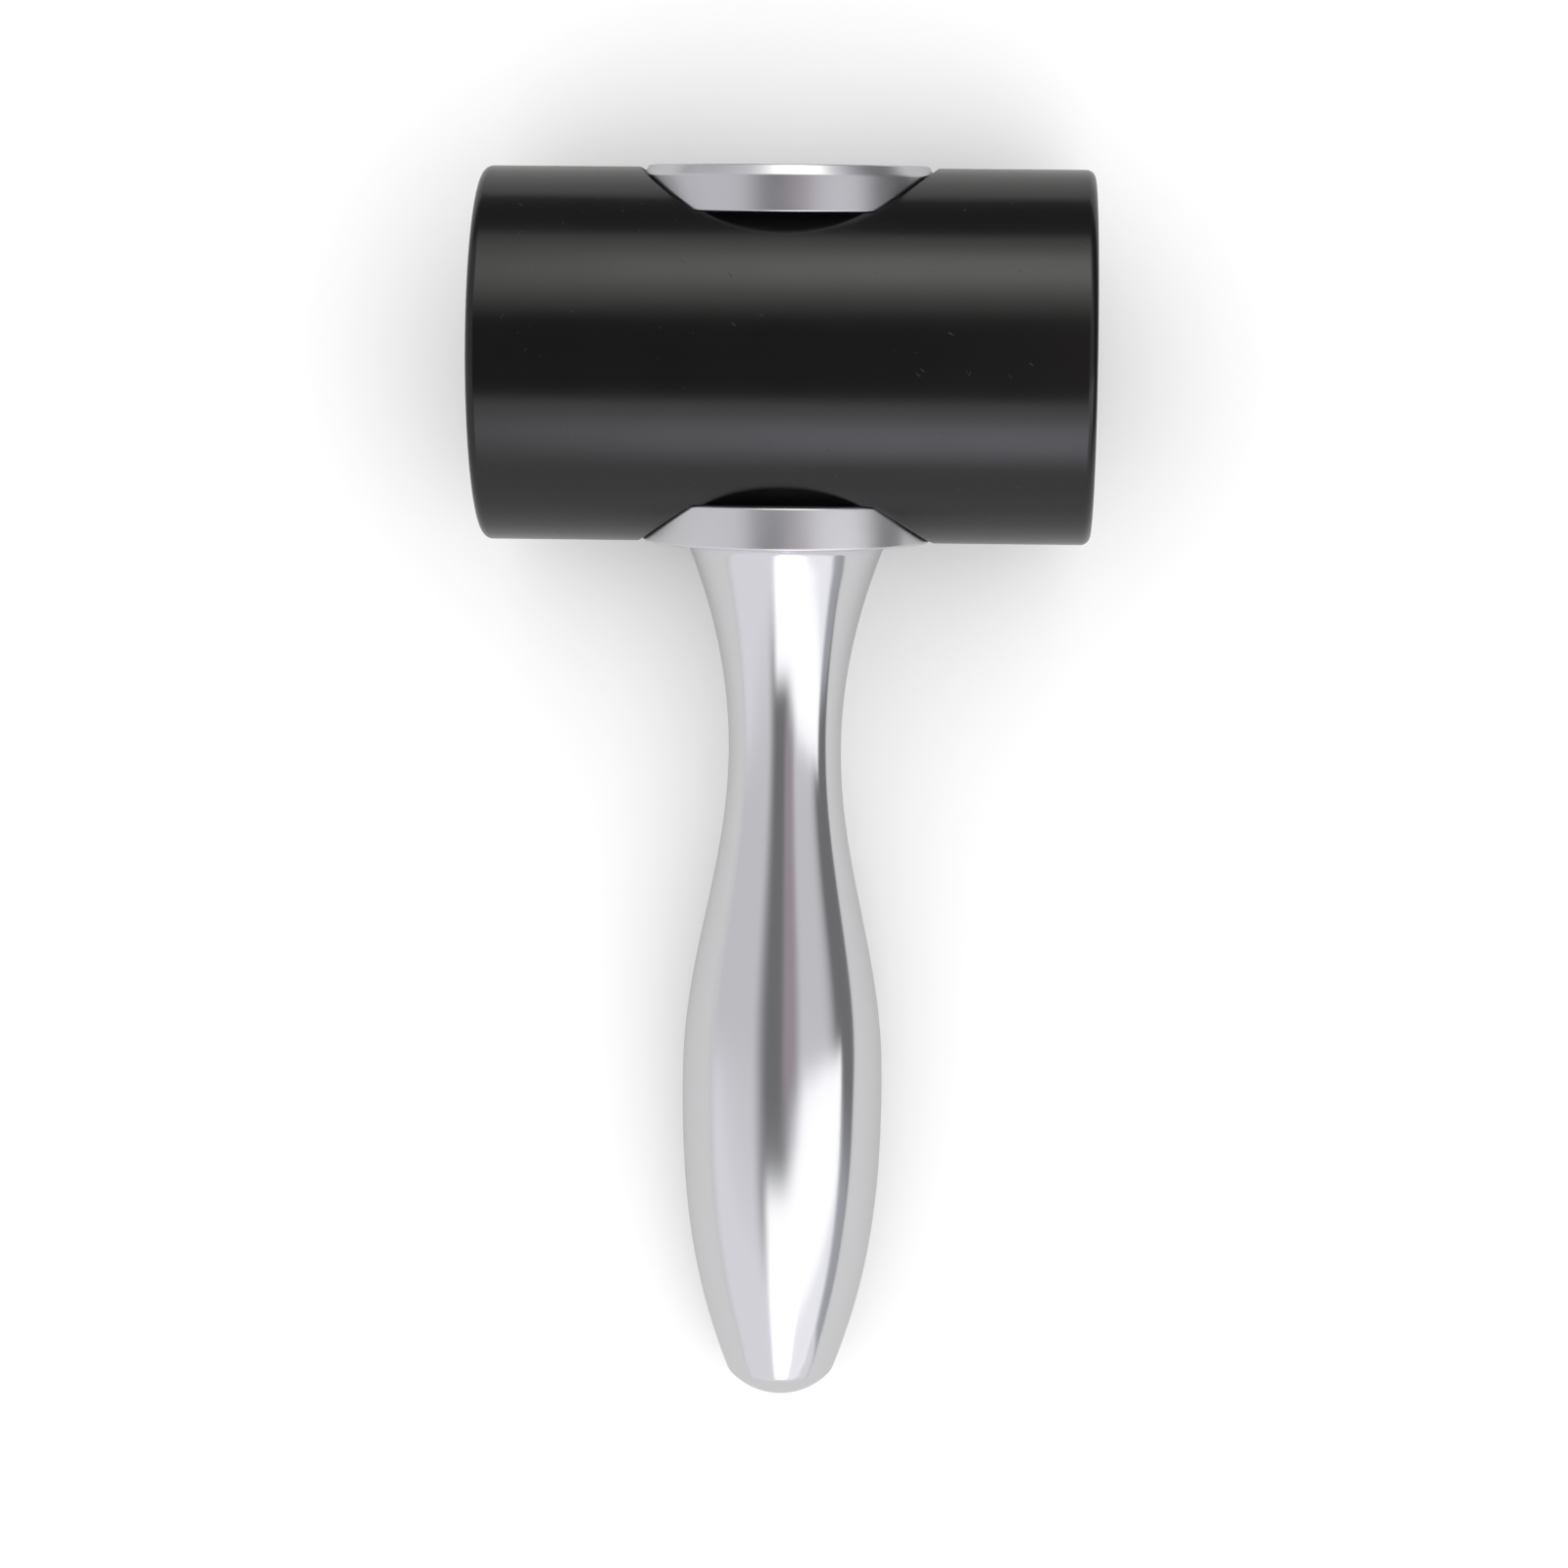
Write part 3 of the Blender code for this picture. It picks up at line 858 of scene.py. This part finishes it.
def spring_steel():
    material, tree, shader = new_finish("oiled_spring_steel", "#6A6662", 1, 0.38)
    place, _, _ = from_axis(tree, HANDLE_ON_LATHE)
    scale = add_node(tree, "TexNoise", {"Vector": place, "Scale": 1 / SCALE_SIZE, "Detail": 5})
    tone = add_node(
        tree, "Mix", {"Factor": scale.outputs["Fac"], "A": paint("#4C4A48"), "B": paint("#7C7874")},
        data_type="RGBA",
    )
    tree.links.new(tone.outputs["Result"], shader.inputs["Base Color"])
    return material


# %% [markdown]
# ## Onto the floor
#
# Each shape is laid down, shaded smooth except at its corners, and given its finish. Its object
# stays at the origin with its place in the mesh. Weighted normals let the wide flat faces keep
# their true direction, so the small roundings beside them don't bend what they reflect.

# %% Finish the five pieces
CORNER = math.radians(32)  # a fold sharper than this is shaded as an edge


def place_piece(name, shape, material):
    """Lays a shape down as the visible piece for the frame's solid of that name."""
    bmesh.ops.transform(shape, matrix=LYING_DOWN, verts=shape.verts)
    made = as_object(name + "_piece", shape)
    made.data.shade_smooth()
    made.data.set_sharp_from_angle(angle=CORNER)
    made.data.materials.append(material)
    weighted = made.modifiers.new("weighted normals", "WEIGHTED_NORMAL")
    weighted.keep_sharp = True
    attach(made, "root")
    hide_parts(name)
    print(name, "is in place,", len(made.data.polygons), "faces")
    return made


place_piece("head", head, turned_nylon())
place_piece("handle", handle, polished_metal())
place_piece("top_disc", top_disc, faced_metal())
place_piece("clamp_screw", clamp_screw, zinc_steel())
place_piece("spring_washer", spring_washer, spring_steel())

# %% [markdown]
# ## The floor
#
# The mallet lies on plain white paper, wide enough that its far edge is lost in the room. Mirrors
# are more exacting: they show how far the real table reached. So the paper is left out of all
# reflections, and a greyer sheet in the table's outline, which only mirrors see, lies just above
# it, with a darker ground beyond. The table ends close by on the right and past the head.

# %% Paper, table and ground
ROOM_REACH = 4.5


def matt(name, colour):
    """A plain matt sheet's material."""
    material, _, shader = new_finish(name, colour, 0, 1)
    shader.inputs["Specular IOR Level"].default_value = 0
    return material


def sheet(name, corners, material):
    """A flat sheet between corners."""
    shape = bmesh.new()
    shape.faces.new([shape.verts.new(corner) for corner in corners])
    made = as_object(name, shape)
    made.data.materials.append(material)
    return made


def mirrored_sheet(name, corners, material):
    """A sheet that only reflections show."""
    made = sheet(name, corners, material)
    made.visible_camera = False
    made.visible_diffuse = False
    made.visible_shadow = False


def level(corners, height):
    """Corners on the floor plan, all at one height."""
    return [(*corner, height) for corner in corners]


ROOM = (
    (-ROOM_REACH, -ROOM_REACH), (ROOM_REACH, -ROOM_REACH),
    (ROOM_REACH, ROOM_REACH), (-ROOM_REACH, ROOM_REACH),
)
TABLE = (
    (-ROOM_REACH, -ROOM_REACH), (0.8, -ROOM_REACH), (0.8, -0.4),
    (0.24, 0.0), (0.15, 0.03), (0.15, 0.24), (-0.4, 0.24),
    (-1.6, ROOM_REACH), (-ROOM_REACH, ROOM_REACH),
)

paper = sheet("white_paper", level(ROOM, 0), matt("paper", "#F4F4F4"))
paper.visible_glossy = False
mirrored_sheet("mirrored_ground", level(ROOM, 0.1 * MM), matt("dim_ground", "#666666"))
mirrored_sheet("mirrored_table", level(TABLE, 0.2 * MM), matt("table_top", "#C4C4C3"))

# %% [markdown]
# ## The room in the mirror
#
# Polished metal has no look of its own: it shows the room. Where each thing in the room begins and
# ends was worked out from where its reflection does, as a slope: on the ceiling so far sideways and
# so far along the mallet for each metre up, and on a wall so far along and so far up for each metre
# out. Round the camera the ceiling is dark, and warmer on its right, which gives the handle its
# dark stripe and the head its black middle. It brightens towards the butt, soonest on the right,
# so both ends of that stripe taper. It brightens again past the head, and a lamp glows in each of
# the two places. The wall on the left is pale, a little more so towards the butt, and has the
# table's tone low down. The wall on the right is dark, which draws the thin dark line along that
# side of the handle, and grows lighter towards the butt, first of all high up.
#
# Nothing in a room has a hard edge in a reflection like this one, so each of these is a zone laid
# over the ones before it, with four soft edges. An edge is two slopes, where the zone begins to
# show and where it shows fully. Only mirrors see this room: a white sky and a lamp light the rest.

# %% Soft zones
OPEN_LOW = (-20, -10)
OPEN_HIGH = (20, 10)


def lit(code, times=1):
    """A colour made so many times brighter."""
    return (*(channel * times for channel in paint(code)[:3]), 1)


def soft_edge(tree, slope, outside, inside):
    """0 at one slope and 1 at the other, with a smooth rise between them."""
    return remap(tree, slope, (outside, inside), (0, 1), interpolation_type="SMOOTHSTEP")


def zone(tree, slopes, under, tone, edges):
    """Lays a soft rectangle of a tone over what is there already."""
    low_across, high_across, low_along, high_along = edges
    across, along = slopes
    sides = [
        soft_edge(tree, across, *low_across), soft_edge(tree, across, *high_across),
        soft_edge(tree, along, *low_along), soft_edge(tree, along, *high_along),
    ]
    cover = sides[0]
    for side in sides[1:]:
        cover = add_node(tree, "Math", {0: cover, 1: side}, operation="MULTIPLY").outputs[0]
    mixed = add_node(tree, "Mix", {"Factor": cover, "A": under, "B": tone}, data_type="RGBA")
    return mixed.outputs["Result"]


def toned(name, tone, zones=(), axes="XY", distance=1):
    """A glowing material in one tone, with soft zones over it along two axes."""
    material, tree, shader = new_finish(name, "#000000", 0, 1)
    shader.inputs["Specular IOR Level"].default_value = 0
    shader.inputs["Emission Color"].default_value = tone
    shader.inputs["Emission Strength"].default_value = 1
    if not zones:
        return material
    coordinates = add_node(tree, "TexCoord")
    slopes = add_node(
        tree, "VectorMath", {0: coordinates.outputs["Object"], "Scale": 1 / distance},
        operation="SCALE",
    )
    parts = add_node(tree, "SeparateXYZ", {0: slopes.outputs[0]})
    for colour, *edges in zones:
        tone = zone(tree, [parts.outputs[axis] for axis in axes], tone, colour, edges)
    tree.links.new(tone, shader.inputs["Emission Color"])
    return material


# %% The ceiling
CEILING = 1.2
PALE = paint("#CECDD0")
PALER = paint("#E6E5E9")
DARK = paint("#747475")
DIM = paint("#A6A8AD")
WARM_DARK = paint("#A0959A")
BRIGHT = lit("#FFFFFF", 1.25)
COOL_WHITE = paint("#FCFCFF")
COOL_LAMP = lit("#F4F4FF", 2.55)
WARM_BRIGHT = lit("#FFFEFA", 1.2)
WARM_LAMP = lit("#FEFFF9", 2.5)

CEILING_ZONES = (
    # tone, then the edges on the left, on the right, towards the butt and towards the head
    (PALER, OPEN_LOW, OPEN_HIGH, OPEN_LOW, (0.1, -1.2)),
    (DARK, (-0.68, -0.24), (0.52, -0.05), (-1.2, -0.4), (0.9, 0.3)),
    (WARM_DARK, (-0.02, 0.14), (0.46, 0.22), (-0.48, -0.2), (0.9, 0.3)),
    (BRIGHT, (-0.42, -0.2), (0.9, 0.6), (-4.4, -2.6), (-0.44, -0.64)),
    (BRIGHT, (0.05, 0.5), (5.0, 3.0), (-4.4, -2.6), (-0.3, -0.56)),
    (BRIGHT, (0.3, 0.62), (5.0, 3.0), (-4.4, -2.6), (-0.18, -0.46)),
    (COOL_WHITE, (0.4, 0.75), OPEN_HIGH, (-4.4, -2.6), (-1.25, -1.65)),
    (DARK, (1.1, 2.9), OPEN_HIGH, (-0.6, -0.1), OPEN_HIGH),
    (COOL_LAMP, (-0.3, -0.05), (0.75, 0.4), (-2.8, -1.5), (-0.7, -1.15)),
    (WARM_BRIGHT, (-0.6, -0.3), (0.9, 0.6), (0.3, 0.75), (4.0, 2.0)),
    (WARM_LAMP, (-0.3, -0.05), (0.75, 0.4), (0.6, 1.1), (2.3, 1.3)),
)

mirrored_sheet(
    "mirrored_ceiling", level(ROOM, CEILING),
    toned("ceiling_tones", PALE, CEILING_ZONES, "XY", CEILING),
)

# %% The walls
TABLE_TONE = paint("#D8D8D8")
LEFT_ZONES = (
    # tone, then the edges towards the butt and towards the head, and below and above
    (PALER, OPEN_LOW, (0.03, -0.32), OPEN_LOW, OPEN_HIGH),
    (TABLE_TONE, OPEN_LOW, OPEN_HIGH, OPEN_LOW, (0.16, 0.0)),
)
RIGHT_ZONES = (
    (DIM, OPEN_LOW, (-0.2, -0.42), OPEN_LOW, OPEN_HIGH),
    (BRIGHT, OPEN_LOW, (-0.12, -0.38), (0.17, 0.36), OPEN_HIGH),
)


def wall(name, start, end, material):
    """A wall of the mirrored room between two corners of its floor plan."""
    mirrored_sheet(
        name, ((*start, 0), (*end, 0), (*end, CEILING), (*start, CEILING)), material,
    )


wall("left_wall", ROOM[3], ROOM[0], toned("left_tones", PALE, LEFT_ZONES, "YZ", ROOM_REACH))
wall("butt_wall", ROOM[0], ROOM[1], toned("butt_tone", PALER))
wall("right_wall", ROOM[1], ROOM[2], toned("right_tones", DARK, RIGHT_ZONES, "YZ", ROOM_REACH))
wall("head_wall", ROOM[2], ROOM[3], toned("head_tone", DARK))

# %% [markdown]
# ## Light
#
# The paper and the shadows are lit by an even white sky and one wide soft lamp overhead, towards
# the butt and to the right as in the mirror. Neither is seen in a reflection. The shadow that they
# leave is faint, as it should be round a thing photographed on white.

# %% Sky and lamp
SKY = 1.15
LAMP_PLACE = (0.5, -0.6, 1.4)
LAMP_SIZE = 1.2
LAMP_RADIANCE = 1.15

world = bpy.data.worlds.new("white_sky")
world.use_nodes = True
sky = world.node_tree.nodes["Background"]
sky.inputs["Color"].default_value = paint("#FFFFFF")
sky.inputs["Strength"].default_value = SKY
bpy.context.scene.world = world


light = bpy.data.lights.new("wide_lamp", "AREA")
light.shape = "SQUARE"
light.size = LAMP_SIZE
light.energy = LAMP_RADIANCE * math.pi * LAMP_SIZE**2  # the watts that give this radiance
lamp = bpy.data.objects.new("wide_lamp", light)
lamp.location = LAMP_PLACE
lamp.visible_camera = False
lamp.visible_glossy = False
bpy.context.scene.collection.objects.link(lamp)
print(f"a lamp {LAMP_SIZE} m wide, {LAMP_PLACE[2]} m above the floor, of {light.energy:.1f} W")

# %% [markdown]
# ## The camera
#
# The photograph looks straight down from about 0.7 m, a little right of the handle and nearer to
# the head than to the butt, and turned by less than a degree. The camera stands there. Its lens is
# long, so that the mallet fills the frame.

# %% Camera
CAMERA_PLACE = Vector((0.027, 0.022, 0.699))
CAMERA_TARGET = Vector((0.0, 0.0, 0.025))
CAMERA_ROLL = math.radians(0.7)
LENS = 95
SENSOR = 36

camera_data = bpy.data.cameras.new("photograph")
camera_data.lens = LENS
camera_data.sensor_width = SENSOR
camera = bpy.data.objects.new("photograph", camera_data)
bpy.context.scene.collection.objects.link(camera)
forward = (CAMERA_TARGET - CAMERA_PLACE).normalized()
right = forward.cross(Vector((-math.sin(CAMERA_ROLL), math.cos(CAMERA_ROLL), 0))).normalized()
up = right.cross(forward)
axes = Matrix((right, up, -forward)).transposed().to_4x4()
camera.matrix_world = Matrix.Translation(CAMERA_PLACE) @ axes
bpy.context.scene.camera = camera
bpy.context.scene.view_settings.view_transform = "Standard"
print("the camera is", round((CAMERA_TARGET - CAMERA_PLACE).length, 3), "m from the mallet")
